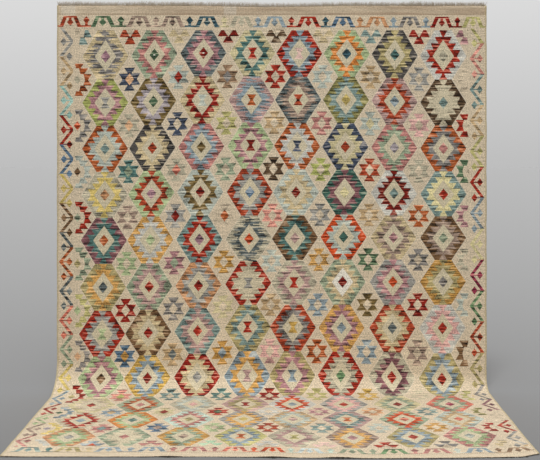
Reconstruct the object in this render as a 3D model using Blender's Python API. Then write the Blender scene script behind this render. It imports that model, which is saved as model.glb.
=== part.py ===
"""A large flat-woven kilim rug, hung by its top edge down a wall plane, its tail lying forward on the floor.

Metres, +Z up. The floor is z = 0, the wall plane is at the back (+Y), and the woven face looks to -Y
and then up. Each sub-part is one object: the cloth, and the warp fringe at each end.
"""

import math

import bmesh
import bpy

# Cloth
WIDTH = 3.0
THICKNESS = 0.004
HANG_HEIGHT = 2.69  # floor to the line that the pattern is measured from
TAIL_REACH = 1.251  # wall plane to the front edge
PATTERN_LENGTH = 3.877  # woven length at the middle of the rug
BEND_RADIUS_LEFT = 0.20  # the cloth turns more loosely at the left than at the right
BEND_RADIUS_RIGHT = 0.10
SLACK_START = 2.25  # stretch of the cloth, from the top, that takes up the uneven bend
SLACK_END = 3.05
TOP_SAG = 0.008  # the top edge hangs lower in its middle
TOP_SAG_REACH = 0.55
TOP_DROP_LEFT = 0.005
TOP_DROP_RIGHT = 0.007
TOP_BLEND = 0.30
FRONT_BOW = 0.024  # the right part of the front edge lies further forward
FRONT_BOW_X = 0.62
FRONT_BOW_REACH = 1.0
CORNER_SETBACK = 0.030  # the right front corner is drawn back
CORNER_REACH = 0.15

# Mesh of the cloth
COLUMNS = 36
HUNG_ROWS = 24
BEND_ROWS = 14
TAIL_ROWS = 11

# Fringe
LOCKS = 108
STRIP_DEPTH = 0.0026
STRIP_THICKNESS = 0.003
GAP = 0.0003
FRONT_GAP = 0.00032  # measured straight forward, so that it is 0.3 mm where the edge slants
TOP_FRINGE_MARGIN = 0.035
BOTTOM_FRINGE_MARGIN = 0.012
TOP_LOCK_LENGTH = 0.019
BOTTOM_LOCK_LENGTH = 0.012
LONGEST_LOCK = 1.25  # times the usual length
SHORTEST_LOCK = 0.55
LOCK_LEAN = 0.7  # how far apart the tips lean at most, in lock lengths
TIP_SHARE = 0.35

WALL_Y = (TAIL_REACH + FRONT_BOW + STRIP_DEPTH + GAP + LONGEST_LOCK * BOTTOM_LOCK_LENGTH) / 2

# Soft swells where the hung cloth stands off the wall plane
SWELL_COLUMNS = ("x", "z", "half_width", "half_height", "out")
SWELLS = (
    (-1.12, 1.95, 0.34, 0.95, 0.006),
    (-0.78, 0.75, 0.36, 0.60, 0.005),
    (-0.18, 1.30, 0.42, 1.00, 0.005),
    (0.78, 2.00, 0.36, 0.66, 0.006),
    (1.20, 0.95, 0.29, 0.72, 0.007),
)

# Short slanting puckers in the plain end band and below it
PUCKER_COLUMNS = ("x", "z", "slope_deg", "half_length", "half_width", "out")
PUCKERS = (
    (-1.36, 2.60, 35.0, 0.17, 0.055, 0.005),
    (-1.17, 2.61, 28.0, 0.19, 0.050, 0.005),
    (-0.97, 2.62, 24.0, 0.16, 0.050, 0.004),
    (0.92, 2.61, -20.0, 0.17, 0.055, 0.003),
)

# Places where the front edge stands up from the floor
LIFT_COLUMNS = ("x", "half_width", "reach_back", "up")
LIFTS = (
    (-1.50, 0.16, 0.10, 0.003),
    (-0.57, 0.11, 0.10, 0.004),
    (0.02, 0.13, 0.11, 0.005),
    (0.38, 0.14, 0.13, 0.006),
    (1.50, 0.14, 0.17, 0.006),
)


def rows_of(columns, table):
    return [dict(zip(columns, row)) for row in table]


def clamp(value):
    return min(1.0, max(0.0, value))


def smooth(value):
    t = clamp(value)
    return t * t * (3 - 2 * t)


def bump(distance):
    """1 at the middle, falling smoothly to exactly 0 at distance 1."""
    inside = max(0.0, 1 - distance * distance)
    return inside * inside


def scatter(index, seed):
    """A fixed uneven value from 0 to 1 for each index."""
    wave = math.sin(index * 12.9898 + seed * 78.233) * 43758.5453
    return wave - math.floor(wave)


def across(x):
    return (x + WIDTH / 2) / WIDTH


def bend_radius(x):
    return BEND_RADIUS_LEFT + (BEND_RADIUS_RIGHT - BEND_RADIUS_LEFT) * across(x)


def top_drop(x):
    t = across(x)
    ends = TOP_DROP_LEFT + (TOP_DROP_RIGHT - TOP_DROP_LEFT) * t
    return ends + TOP_SAG * bump(x / TOP_SAG_REACH)


def front_setback(x):
    """How far back from a straight line the front edge lies."""
    corner = smooth((x - WIDTH / 2 + CORNER_REACH) / CORNER_REACH) ** 2
    return CORNER_SETBACK * corner - FRONT_BOW * bump((x - FRONT_BOW_X) / FRONT_BOW_REACH)


def swell(x, z):
    total = 0.0
    for row in rows_of(SWELL_COLUMNS, SWELLS):
        side = (x - row["x"]) / row["half_width"]
        rise = (z - row["z"]) / row["half_height"]
        total += row["out"] * bump(side) * bump(rise)
    for row in rows_of(PUCKER_COLUMNS, PUCKERS):
        slope = math.radians(row["slope_deg"])
        dx = x - row["x"]
        dz = z - row["z"]
        along = dx * math.cos(slope) + dz * math.sin(slope)
        off = dz * math.cos(slope) - dx * math.sin(slope)
        total += row["out"] * bump(along / row["half_length"]) * bump(off / row["half_width"])
    return total


def lift(x, forward):
    total = 0.0
    for row in rows_of(LIFT_COLUMNS, LIFTS):
        back = clamp((forward - TAIL_REACH + row["reach_back"]) / row["reach_back"])
        total += row["up"] * bump((x - row["x"]) / row["half_width"]) * smooth(back)
    return total


def underside(x, v):
    """The back of the cloth at x, a length v down its pattern: on the wall plane, round the bend, then flat."""
    radius = bend_radius(x)
    bend_length = radius * math.pi / 2
    length = HANG_HEIGHT + TAIL_REACH - 2 * radius + bend_length
    slack = smooth((v - SLACK_START) / (SLACK_END - SLACK_START))
    s = v + (length - PATTERN_LENGTH) * slack
    past = s - (HANG_HEIGHT - radius)
    if past <= 0:
        z = HANG_HEIGHT - s
        return x, WALL_Y - swell(x, z), z
    if past < bend_length:
        angle = past / radius
        return x, WALL_Y - radius * (1 - math.cos(angle)), radius * (1 - math.sin(angle))
    forward = radius + past - bend_length
    share = clamp((forward - radius) / (TAIL_REACH - radius))
    raised = lift(x, forward)
    return x, WALL_Y - forward + front_setback(x) * share**3, raised


def spread(start, end, steps):
    return [start + (end - start) * i / steps for i in range(steps)]


def wool(name, red, green, blue):
    material = bpy.data.materials.new(name)
    material.use_nodes = True
    shader = material.node_tree.nodes["Principled BSDF"]
    shader.inputs["Base Color"].default_value = (red, green, blue, 1)
    shader.inputs["Roughness"].default_value = 0.9
    shader.inputs["Metallic"].default_value = 0.0
    return material


def add_object(name, mesh_builder, material):
    mesh = bpy.data.meshes.new(name)
    mesh_builder.to_mesh(mesh)
    mesh_builder.free()
    mesh.materials.append(material)
    mesh.shade_smooth()
    made = bpy.data.objects.new(name, mesh)
    bpy.context.scene.collection.objects.link(made)
    return made


def make_cloth():
    """The woven sheet: a grid on its underside, thickened towards the woven face."""
    lengths = spread(0.0, SLACK_START, HUNG_ROWS)
    lengths += spread(SLACK_START, SLACK_END, BEND_ROWS)
    lengths += spread(SLACK_END, PATTERN_LENGTH, TAIL_ROWS)
    lengths.append(PATTERN_LENGTH)
    builder = bmesh.new()
    grid = []
    for v in lengths:
        line = []
        for i in range(COLUMNS + 1):
            x = WIDTH * (i / COLUMNS - 0.5)
            edge = top_drop(x) * (1 - smooth(v / TOP_BLEND))
            line.append(builder.verts.new(underside(x, v + edge)))
        grid.append(line)
    for upper, lower in zip(grid, grid[1:]):
        for i in range(COLUMNS):
            builder.faces.new((upper[i], lower[i], lower[i + 1], upper[i + 1]))
    cloth = add_object("rug", builder, wool("wool_cloth", 0.45, 0.38, 0.27))
    solid = cloth.modifiers.new("thickness", "SOLIDIFY")
    solid.thickness = THICKNESS
    solid.offset = 1.0
    return cloth


def comb_places(margin):
    """Places across the rug where the comb's strip is cut. One lies at each bend of the cloth's end."""
    steps = 2 * LOCKS + 1
    places = [(WIDTH - 2 * margin) * (k / steps - 0.5) for k in range(steps + 1)]
    for column in range(1, COLUMNS):
        line = WIDTH * (column / COLUMNS - 0.5)
        nearest = min(range(1, steps), key=lambda k: abs(places[k] - line))
        places[nearest] = line
    return places


def make_comb(name, margin, lock_length, seed, root, material):
    """A narrow strip along the cloth's edge with locks standing out of its outer side.

    root(x) gives the strip's back corner beside the cloth, and the directions out of the edge and through
    the thickness. Tips settle towards that back side.
    """
    builder = bmesh.new()
    places = comb_places(margin)
    steps = len(places) - 1
    rings = []
    for x in places:
        (y, z), (out_y, out_z), (thick_y, thick_z) = root(x)
        ring = []
        for out, thick in ((0, 0), (1, 0), (1, 1), (0, 1)):
            step_out = out * STRIP_DEPTH
            step_thick = thick * STRIP_THICKNESS
            corner_y = y + out_y * step_out + thick_y * step_thick
            corner_z = z + out_z * step_out + thick_z * step_thick
            ring.append(builder.verts.new((x, corner_y, corner_z)))
        rings.append(ring)
    builder.faces.new(rings[0])
    builder.faces.new(reversed(rings[-1]))
    for k in range(steps):
        near, far = rings[k], rings[k + 1]
        for a, b in ((0, 1), (1, 2), (2, 3), (3, 0)):
            if (a, b) == (1, 2) and k % 2:
                continue
            builder.faces.new((near[b], near[a], far[a], far[b]))
    for k in range(1, steps, 2):
        base = (rings[k][1], rings[k][2], rings[k + 1][2], rings[k + 1][1])
        middle = (base[0].co.x + base[3].co.x) / 2
        _, (out_y, out_z), (thick_y, thick_z) = root(middle)
        length = lock_length * (SHORTEST_LOCK + (LONGEST_LOCK - SHORTEST_LOCK) * scatter(k, seed))
        lean = length * LOCK_LEAN * (scatter(k, seed + 1) - 0.5)
        floor_z = 0.0 if out_z == 0 else None
        tip = []
        for vert, thick in zip(base, (0, 1, 1, 0)):
            x = middle + lean + (vert.co.x - middle) * TIP_SHARE
            step_thick = thick * STRIP_THICKNESS * TIP_SHARE
            y = base[0].co.y + out_y * length + thick_y * step_thick
            z = base[0].co.z + out_z * length + thick_z * step_thick
            if floor_z is not None:
                z = floor_z + thick_z * step_thick
            tip.append(builder.verts.new((x, y, z)))
        for a in range(4):
            b = (a + 1) % 4
            builder.faces.new((base[b], base[a], tip[a], tip[b]))
        builder.faces.new(reversed(tip))
    bmesh.ops.recalc_face_normals(builder, faces=builder.faces)
    return add_object(name, builder, material)


def edge_place(x, length_at):
    """A point on the cloth's end, which runs straight from column to column of its mesh."""
    column = min(COLUMNS - 1, math.floor(across(x) * COLUMNS))
    share = across(x) * COLUMNS - column
    left = WIDTH * (column / COLUMNS - 0.5)
    right = WIDTH * ((column + 1) / COLUMNS - 0.5)
    _, near_y, near_z = underside(left, length_at(left))
    _, far_y, far_z = underside(right, length_at(right))
    return near_y + (far_y - near_y) * share, near_z + (far_z - near_z) * share


def top_root(x):
    y, z = edge_place(x, top_drop)
    inset = (THICKNESS - STRIP_THICKNESS) / 2
    return (y - inset, z + GAP), (0.0, 1.0), (-1.0, 0.0)


def bottom_root(x):
    y, z = edge_place(x, lambda _: PATTERN_LENGTH)
    return (y - FRONT_GAP, z), (-1.0, 0.0), (0.0, 1.0)


def make_fringes():
    top_wool = wool("warp_ends_top", 0.30, 0.26, 0.20)
    bottom_wool = wool("warp_ends_bottom", 0.16, 0.13, 0.10)
    make_comb("fringe_top", TOP_FRINGE_MARGIN, TOP_LOCK_LENGTH, 1, top_root, top_wool)
    make_comb("fringe_bottom", BOTTOM_FRINGE_MARGIN, BOTTOM_LOCK_LENGTH, 5, bottom_root, bottom_wool)


def main():
    for old in list(bpy.data.objects):
        bpy.data.objects.remove(old, do_unlink=True)
    make_cloth()
    make_fringes()


main()
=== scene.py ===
# %% [markdown]
# # A kilim rug, hung so that its tail lies on the floor
#
# A kilim is a flat-woven wool rug. It has no pile: the coloured wefts are beaten down so tightly that
# they hide the warps, and the pattern is made of blocks of weft that turn back where the colour changes.
# That is why each slanting edge climbs in small steps.
#
# The packed model gives the cloth's true shape and size. This lesson dresses it: a thin woven sheet with
# its pattern, two frayed warp fringes, a floor and soft light.

# %% Load the frame
import math

import bpy
import numpy as np
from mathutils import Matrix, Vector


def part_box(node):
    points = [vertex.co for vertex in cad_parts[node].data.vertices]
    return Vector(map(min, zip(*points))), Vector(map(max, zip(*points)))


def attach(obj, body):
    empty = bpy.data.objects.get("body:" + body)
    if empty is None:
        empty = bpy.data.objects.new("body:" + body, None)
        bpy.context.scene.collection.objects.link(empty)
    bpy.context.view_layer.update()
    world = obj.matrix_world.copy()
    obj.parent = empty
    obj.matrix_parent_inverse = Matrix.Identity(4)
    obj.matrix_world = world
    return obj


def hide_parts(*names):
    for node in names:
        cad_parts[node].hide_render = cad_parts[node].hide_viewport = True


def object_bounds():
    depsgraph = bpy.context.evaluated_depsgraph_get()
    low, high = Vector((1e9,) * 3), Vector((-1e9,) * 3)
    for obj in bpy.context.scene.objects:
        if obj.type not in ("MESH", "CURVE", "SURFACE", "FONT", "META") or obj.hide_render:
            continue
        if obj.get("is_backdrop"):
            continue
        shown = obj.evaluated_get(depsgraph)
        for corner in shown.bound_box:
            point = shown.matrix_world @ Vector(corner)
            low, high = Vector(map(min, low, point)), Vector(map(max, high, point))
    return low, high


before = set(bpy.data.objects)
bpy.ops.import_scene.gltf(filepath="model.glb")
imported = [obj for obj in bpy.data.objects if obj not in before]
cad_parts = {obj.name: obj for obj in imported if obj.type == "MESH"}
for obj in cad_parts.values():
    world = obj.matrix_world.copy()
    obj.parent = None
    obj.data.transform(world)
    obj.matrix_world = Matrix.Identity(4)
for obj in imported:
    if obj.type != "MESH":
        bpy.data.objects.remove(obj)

cad_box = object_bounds()
print("CAD nodes:", sorted(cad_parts))

# %% [markdown]
# ## Camera
#
# The picture was taken with a level camera, so upright lines stay upright, and the view was moved down
# over the film instead of tilting it. Blender does the same with a camera that looks along +Y and has a
# vertical shift. Its distance comes from how fast the sides of the tail spread on the floor.

# %% Camera
IMAGE_WIDTH = 540
IMAGE_HEIGHT = 460
FOCAL_PX = 863.5  # focal length in pixels of the picture
HORIZON_PX = (277.5, 133.2)  # where lines that run straight back would meet
SENSOR_WIDTH = 36.0
CAMERA_DISTANCE = 6.03  # from the wall plane
CAMERA_HEIGHT = 1.792
CAMERA_X = 0.040

_, rug_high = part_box("rug")
wall_y = rug_high.y
camera_data = bpy.data.cameras.new("camera")
camera_data.sensor_width = SENSOR_WIDTH
camera_data.lens = FOCAL_PX * SENSOR_WIDTH / IMAGE_WIDTH
camera_data.shift_x = (IMAGE_WIDTH / 2 - HORIZON_PX[0]) / IMAGE_WIDTH
camera_data.shift_y = (HORIZON_PX[1] - IMAGE_HEIGHT / 2) / IMAGE_WIDTH
camera = bpy.data.objects.new("camera", camera_data)
camera.location = (CAMERA_X, wall_y - CAMERA_DISTANCE, CAMERA_HEIGHT)
camera.rotation_euler = (math.radians(90), 0, 0)
bpy.context.scene.collection.objects.link(camera)
bpy.context.scene.camera = camera
print("lens", round(camera_data.lens, 2), "mm, wall plane at y =", round(wall_y, 4))

# %% [markdown]
# ## The shape of the hung cloth
#
# The cloth hangs down a wall plane, turns over a loose bend and lies on the floor. The bend is wider at
# the left than at the right. The top edge sags a little between its ends. The right part of the front
# edge lies further forward, and the right front corner is drawn back. A cloth simulation could find such a
# shape, but not this very one. A rule with named sizes can, and the packed solid follows the same rule, so
# the sheet sits exactly where the solid is.

# %% Sizes of the drape
WIDTH = 3.0
THICKNESS = 0.004
HANG_HEIGHT = 2.69  # floor to the line that the pattern is measured from
TAIL_REACH = 1.251  # wall plane to the front edge
PATTERN_LENGTH = 3.877  # woven length at the middle of the rug
BEND_RADIUS_LEFT = 0.20
BEND_RADIUS_RIGHT = 0.10
SLACK_START = 2.25  # stretch of the cloth that takes up the uneven bend
SLACK_END = 3.05
TOP_SAG = 0.008
TOP_SAG_REACH = 0.55
TOP_DROP_LEFT = 0.005
TOP_DROP_RIGHT = 0.007
FRONT_BOW = 0.024  # how much further forward the right part of the front edge lies
FRONT_BOW_X = 0.62
FRONT_BOW_REACH = 1.0
CORNER_SETBACK = 0.030
CORNER_REACH = 0.15
print("a cloth of", WIDTH, "by", PATTERN_LENGTH, "m")

# %% [markdown]
# ## Swells, puckers and lifts
#
# A hanging rug is never quite flat. It swells by a few millimetres, puckers slantwise below its top left
# corner, and its front edge doesn't touch the floor everywhere. Each of these is one row of a short table,
# and each adds a smooth bump that ends exactly at its own reach.

# %% Uneven places
SWELL_COLUMNS = ("x", "z", "half_width", "half_height", "out")
SWELLS = (
    (-1.12, 1.95, 0.34, 0.95, 0.006),
    (-0.78, 0.75, 0.36, 0.60, 0.005),
    (-0.18, 1.30, 0.42, 1.00, 0.005),
    (0.78, 2.00, 0.36, 0.66, 0.006),
    (1.20, 0.95, 0.29, 0.72, 0.007),
)
PUCKER_COLUMNS = ("x", "z", "slope_deg", "half_length", "half_width", "out")
PUCKERS = (
    (-1.36, 2.60, 35.0, 0.17, 0.055, 0.005),
    (-1.17, 2.61, 28.0, 0.19, 0.050, 0.005),
    (-0.97, 2.62, 24.0, 0.16, 0.050, 0.004),
    (0.92, 2.61, -20.0, 0.17, 0.055, 0.003),
)
LIFT_COLUMNS = ("x", "half_width", "reach_back", "up")
LIFTS = (
    (-1.50, 0.16, 0.10, 0.003),
    (-0.57, 0.11, 0.10, 0.004),
    (0.02, 0.13, 0.11, 0.005),
    (0.38, 0.14, 0.13, 0.006),
    (1.50, 0.14, 0.17, 0.006),
)


def rows_of(columns, table):
    return [dict(zip(columns, row)) for row in table]


def smooth(value):
    t = np.clip(value, 0.0, 1.0)
    return t * t * (3 - 2 * t)


def bump(distance):
    """1 at the middle, falling smoothly to exactly 0 at distance 1."""
    return np.maximum(0.0, 1 - distance * distance) ** 2


def swell(x, z):
    """How far the hung part stands off the wall plane."""
    total = 0.0 * x
    for row in rows_of(SWELL_COLUMNS, SWELLS):
        side = (x - row["x"]) / row["half_width"]
        rise = (z - row["z"]) / row["half_height"]
        total += row["out"] * bump(side) * bump(rise)
    for row in rows_of(PUCKER_COLUMNS, PUCKERS):
        slope = math.radians(row["slope_deg"])
        along = (x - row["x"]) * math.cos(slope) + (z - row["z"]) * math.sin(slope)
        off = (z - row["z"]) * math.cos(slope) - (x - row["x"]) * math.sin(slope)
        total += row["out"] * bump(along / row["half_length"]) * bump(off / row["half_width"])
    return total


def lift(x, forward):
    """How far the tail stands off the floor."""
    total = 0.0 * x
    for row in rows_of(LIFT_COLUMNS, LIFTS):
        back = (forward - TAIL_REACH + row["reach_back"]) / row["reach_back"]
        total += row["up"] * bump((x - row["x"]) / row["half_width"]) * smooth(back)
    return total


print(len(SWELLS), "swells,", len(PUCKERS), "puckers and", len(LIFTS), "lifts")

# %% [markdown]
# ## From a length of cloth to a place in the room
#
# Cloth bends but hardly stretches. So the rule starts from a length v down the cloth, and follows it down
# the wall, round the bend and out over the floor. The bend is wider at one side, which makes the way
# shorter there. A slack stretch around the bend takes up that difference, as the real cloth's looseness
# does.

# %% Drape
def share_across(x):
    """0 at the left edge and 1 at the right one."""
    return x / WIDTH + 0.5


def bend_radius(x):
    return BEND_RADIUS_LEFT + (BEND_RADIUS_RIGHT - BEND_RADIUS_LEFT) * share_across(x)


def top_drop(x):
    ends = TOP_DROP_LEFT + (TOP_DROP_RIGHT - TOP_DROP_LEFT) * share_across(x)
    return ends + TOP_SAG * bump(x / TOP_SAG_REACH)


def drape(x, v):
    """Places on the back of the cloth, as arrays, a length v down its pattern."""
    radius = bend_radius(x)
    bend_length = radius * math.pi / 2
    length = HANG_HEIGHT + TAIL_REACH - 2 * radius + bend_length
    slack = smooth((v - SLACK_START) / (SLACK_END - SLACK_START))
    s = v + (length - PATTERN_LENGTH) * slack
    past = s - (HANG_HEIGHT - radius)
    hung_z = HANG_HEIGHT - s
    angle = np.clip(past / radius, 0.0, math.pi / 2)
    forward = radius + past - bend_length
    share = np.clip((forward - radius) / (TAIL_REACH - radius), 0.0, 1.0)
    corner = smooth((x - WIDTH / 2 + CORNER_REACH) / CORNER_REACH) ** 2
    bow = bump((x - FRONT_BOW_X) / FRONT_BOW_REACH)
    setback = (CORNER_SETBACK * corner - FRONT_BOW * bow) * share**3
    on_wall = past <= 0
    on_floor = past >= bend_length
    y = wall_y - radius * (1 - np.cos(angle))
    z = radius * (1 - np.sin(angle))
    y = np.where(on_wall, wall_y - swell(x, hung_z), y)
    z = np.where(on_wall, hung_z, z)
    y = np.where(on_floor, wall_y - forward + setback, y)
    z = np.where(on_floor, lift(x, forward), z)
    return np.stack([x, y, z], axis=-1)


ends = drape(np.array([-WIDTH / 2, WIDTH / 2]), np.full(2, PATTERN_LENGTH))
print("front corners at y =", ends[:, 1].round(4), "z =", ends[:, 2].round(4))

# %% [markdown]
# ## Dyes
#
# The wool is dyed in small lots, so a rug like this has dozens of slightly different shades. Each has a
# weaver's name here and a colour as an sRGB hex value for the wool under white light. The first ones came
# from a few spots of the picture. About half were then changed, and some added, after a scratch program had
# compared the render's colours with the picture's. One function turns hex into the linear numbers that a
# shader needs.

# %% Dyes
DYES = {
    "cream": "cebda2", "undyed": "c8bc9f", "ivory": "e0dacb", "mist": "c6c3b8", "grey": "9a978f",
    "charcoal": "504c48", "slate": "5c6463", "navy": "434b5a", "denim": "566e82", "steel": "8a989d",
    "ice": "c3cfcc", "teal": "54766f", "spruce": "3f6155", "pine": "4a6148", "aqua": "9dc1b4",
    "foam": "c2d3c2", "mint": "a9c6a5", "sage": "949f84", "green": "6c8c62", "leaf": "a8b688",
    "lime": "a3a75f", "olive": "8b8551", "khaki": "a79969", "straw": "d9cd99", "wheat": "c6ba90",
    "yellow": "d5bd6f", "mustard": "c19d4f", "ochre": "ba8d49", "sand": "c5b28a", "tan": "b99d75",
    "brown": "73563a", "umber": "57432f", "bronze": "756139", "taupe": "9b8575", "clay": "b19189",
    "mauve": "97717b", "plum": "805659", "lavender": "a69c9e", "rose": "b47a72", "dusk": "a87b7c",
    "pink": "d6a79e", "blush": "dfbdb0", "salmon": "d59181", "coral": "c9715d", "flame": "bf4a22",
    "red": "9c2c1b", "crimson": "8d2217", "garnet": "761c12", "brick": "a34226", "rust": "a9572b",
    "orange": "cb7f3c", "peach": "ddaf85", "ash": "85807a", "flax": "b3ab93", "haze": "b3b9ac",
    "lichen": "7c918a", "mocha": "8f7359", "apricot": "c08c62", "pear": "b4ad70", "amber": "cf9f5a",
    "cherry": "93344a", "moss": "5a7355", "petrol": "3b5a63",
}


def linear(hex_colour):
    """sRGB hex to the linear red, green, blue and alpha that a shader works with."""
    channels = [int(hex_colour[i:i + 2], 16) / 255 for i in (0, 2, 4)]
    decoded = [c / 12.92 if c <= 0.04045 else ((c + 0.055) / 1.055) ** 2.4 for c in channels]
    return (*decoded, 1.0)


def dye(name):
    return linear(DYES[name])


print(len(DYES), "dyes")

# %% [markdown]
# ## The weaver's chart
#
# Eight medallions sit side by side in eleven rows. Each is written as outer dye / inner dye / dye of its
# heart. A mark after the names changes how it is woven: * gives a heart shaped like an hourglass, ~ gives
# edges that wander from weft to weft, + leaves a small eye in the heart, and ^ gives a diamond of bleached
# wool, whiter than the undyed wool of the others. Writing names in a text, like a weaver's own chart, is
# easier to read and mend than numbers.
#
# The stars stand at the corners between four medallions, and the dye after the slash fills their middle.
# The first and last star of a row are half stars beside the borders.
#
# The names were first written one by one. Most were then changed with the help of a scratch program, which
# averaged each motif's colour in the picture and listed the nearest dyes.

# %% Medallion and star chart
MEDALLIONS = """
sand/ash/mauve~        sage/rose/pine+        slate/dusk/garnet+     wheat/teal/red*
red/steel/blush*       leaf/orange/petrol     charcoal/khaki/teal    mist/red/flax

lime/dusk/grey*        bronze/lavender/pine   sand/crimson/haze*     clay/steel/rust*~
slate/taupe/brick*~    olive/lichen/yellow    clay/brick/steel       umber/undyed/lichen

rust/haze/lichen       charcoal/sand/brick    rose/steel/bronze      leaf/dusk/garnet*
rust/mist/navy*        navy/wheat/brick       rose/sage/lavender     rust/ash/rose

flax/yellow/apricot    leaf/brick/mauve       haze/bronze/garnet     brick/grey/denim
haze/sand/garnet       spruce/plum/straw      mist/garnet/lichen     lichen/straw/red

plum/teal/rust         amber/mist/leaf        lichen/red/mauve       flax/slate/flame~
brown/teal/clay        flame/haze/spruce      sand/taupe/dusk        brown/taupe/sage

khaki/amber/slate      sage/clay/red          apricot/grey/crimson   red/undyed/grey*
flax/clay/red*         sage/sand/garnet^      grey/dusk/flame        ochre/khaki/ash

red/grey/leaf*         brown/sand/crimson     lichen/clay/red        khaki/lichen/red*
brick/ash/mustard*     amber/dusk/steel       brick/sand/slate       mist/pink/red

leaf/dusk/brown        mustard/steel/garnet   crimson/sand/grey      steel/amber/clay*
khaki/dusk/steel*      red/flax/green         flax/plum/crimson      khaki/steel/red

wheat/cream/red        sage/rust/rose         flax/haze/pink         clay/khaki/crimson*
mist/flame/steel       grey/pink/red          wheat/sage/garnet      coral/sage/cherry

undyed/red/steel       orange/leaf/teal       foam/rose/khaki        grey/amber/yellow
tan/haze/clay          clay/lichen/rust*      sage/flame/coral       haze/tan/coral

apricot/leaf/grey      sage/undyed/rose       ochre/sage/taupe       pear/steel/rust*
flax/clay/olive*       taupe/amber/dusk       khaki/steel/red        rose/leaf/haze
"""
STARS = """
lichen           brick        sand           garnet       umber    sand    lichen      crimson  dusk
rust/flax        navy/peach   haze/red       mocha/ash    red      haze    tan         grey     cream
ash/flame        flax/peach   navy           pear         tan      rose    haze/wheat  pink     red
haze/brown       teal/sage    flax/coral     sage         umber    lime    brick       flax     moss
red/sage         taupe        grey/garnet    cream/rust   salmon   grey    tan         rust     dusk
sage/khaki       leaf         dusk/sage      ochre        haze     amber   moss        ash      flax
pear/leaf        crimson      ash            wheat        tan      steel   bronze      crimson  haze
ash/peach        denim/ochre  tan/slate      ochre/steel  pink     rust    steel       taupe    brown
crimson/khaki    salmon/lime  lichen         teal         crimson  pear    mustard     undyed   pear/tan
steel/pine       steel/tan    wheat/crimson  red/pine     mist     dusk    apricot     lichen   olive
yellow/lavender  rose/lichen  denim/taupe    leaf         brick    lichen  haze        ochre    crimson
mist             steel/flame  rose           mint         mist     blush   red         ash      sand
"""
print(len(MEDALLIONS.split()), "medallions and", len(STARS.split()), "stars are charted")

# %% [markdown]
# ## Reading the chart
#
# Two short functions turn the text into rows of names. Nothing has a colour yet: the names stand for the
# dyes until the mesh's faces take them up.

# %% Read the chart
COLUMN_COUNT = 8
ROW_COUNT = 11
HOURGLASS_MARK = "*"
WANDER_MARK = "~"
EYE_MARK = "+"
BLEACHED_MARK = "^"


def read_medallions(chart):
    """The chart as rows of (outer dye, inner dye, heart dye, marks)."""
    found = []
    for word in chart.split():
        dyes = word.rstrip(HOURGLASS_MARK + WANDER_MARK + EYE_MARK + BLEACHED_MARK)
        found.append((*dyes.split("/"), word[len(dyes):]))
    return [found[i:i + COLUMN_COUNT] for i in range(0, len(found), COLUMN_COUNT)]


def read_stars(chart):
    """The chart as rows of (star dye, middle dye). A star with no slash has a cream middle."""
    lines = chart.strip().split("\n")
    return [[tuple((word + "/cream").split("/")[:2]) for word in line.split()] for line in lines]


medallions = read_medallions(MEDALLIONS)
stars = read_stars(STARS)
print([len(row) for row in medallions], "medallions and", [len(row) for row in stars], "stars")

# %% [markdown]
# ## Where the chart's lines run
#
# On a real loom the rows don't stay even: the beat changes, the warps draw in, and the columns drift.
# So each column's middle is given at five stations down the rug, and each row has its own height. Lengths
# run across from the left edge (u) and down from the top line (v), in metres. The columns' middles were
# corrected by the shifts that a scratch program found between a render and the picture.

# %% Lines of the chart
COLUMN_STATIONS = (0.0, 1.30, 2.45, 3.10, 3.877)
COLUMN_CENTRES = (
    (0.343, 0.688, 1.031, 1.372, 1.701, 2.029, 2.360, 2.696),
    (0.335, 0.660, 1.001, 1.347, 1.669, 2.008, 2.353, 2.698),
    (0.312, 0.634, 0.979, 1.328, 1.644, 1.983, 2.339, 2.690),
    (0.317, 0.637, 0.985, 1.329, 1.635, 1.974, 2.330, 2.673),
    (0.308, 0.636, 0.984, 1.320, 1.641, 1.985, 2.345, 2.680),
)
ROW_CENTRES = (0.360, 0.677, 0.995, 1.3135, 1.634, 1.9545, 2.275, 2.592, 2.945, 3.244, 3.551)
SELVEDGE_LINES = (0.0, 0.0012, 0.0035, 0.0070, 0.0120)
LEFT_BORDER_EDGE = 0.114
RIGHT_BORDER_EDGE = 2.878
END_BAND = 0.074
TOP_BORDER_EDGE = 0.168
TOP_STAR_LINE = 0.178
BOTTOM_STAR_LINE = 3.700
BOTTOM_BORDER_EDGE = 3.716
FRONT_BAND = 3.794


def halfway(values):
    return [(a + b) / 2 for a, b in zip(values, values[1:])]


def interleave(centres):
    """Centres with the boundaries between them: centre, boundary, centre and so on."""
    found = [centres[0]]
    for boundary, centre in zip(halfway(centres), centres[1:]):
        found += [boundary, centre]
    return found


left_lines = [*SELVEDGE_LINES, LEFT_BORDER_EDGE]
right_lines = [RIGHT_BORDER_EDGE, *[WIDTH - line for line in reversed(SELVEDGE_LINES)]]
star_lines = [TOP_STAR_LINE, *halfway(ROW_CENTRES), BOTTOM_STAR_LINE]
row_lines = [0.0, END_BAND, TOP_BORDER_EDGE, TOP_STAR_LINE, *interleave(ROW_CENTRES)]
row_lines += [BOTTOM_STAR_LINE, BOTTOM_BORDER_EDGE, FRONT_BAND, PATTERN_LENGTH]
print(len(row_lines), "lines run across and", len(left_lines) + len(right_lines), "frame the columns")

# %% [markdown]
# ## Mesh rows and columns
#
# The mesh gets a line wherever the chart has one, and a few more between them so that the folds come out
# round. Each step remembers which interval of the chart it lies in. That is how a face will know its
# medallion.

# %% Mesh lines
CELL_STEPS = 8  # mesh steps in half a medallion
SIDE_BORDER_STEPS = 5
LEFT_MARGIN_STEPS = 11  # from a side border to the middle of the nearest medallions
RIGHT_MARGIN_STEPS = 9
BAND_STEPS = 5
TOP_BORDER_STEPS = 6
FRONT_BORDER_STEPS = 5


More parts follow.
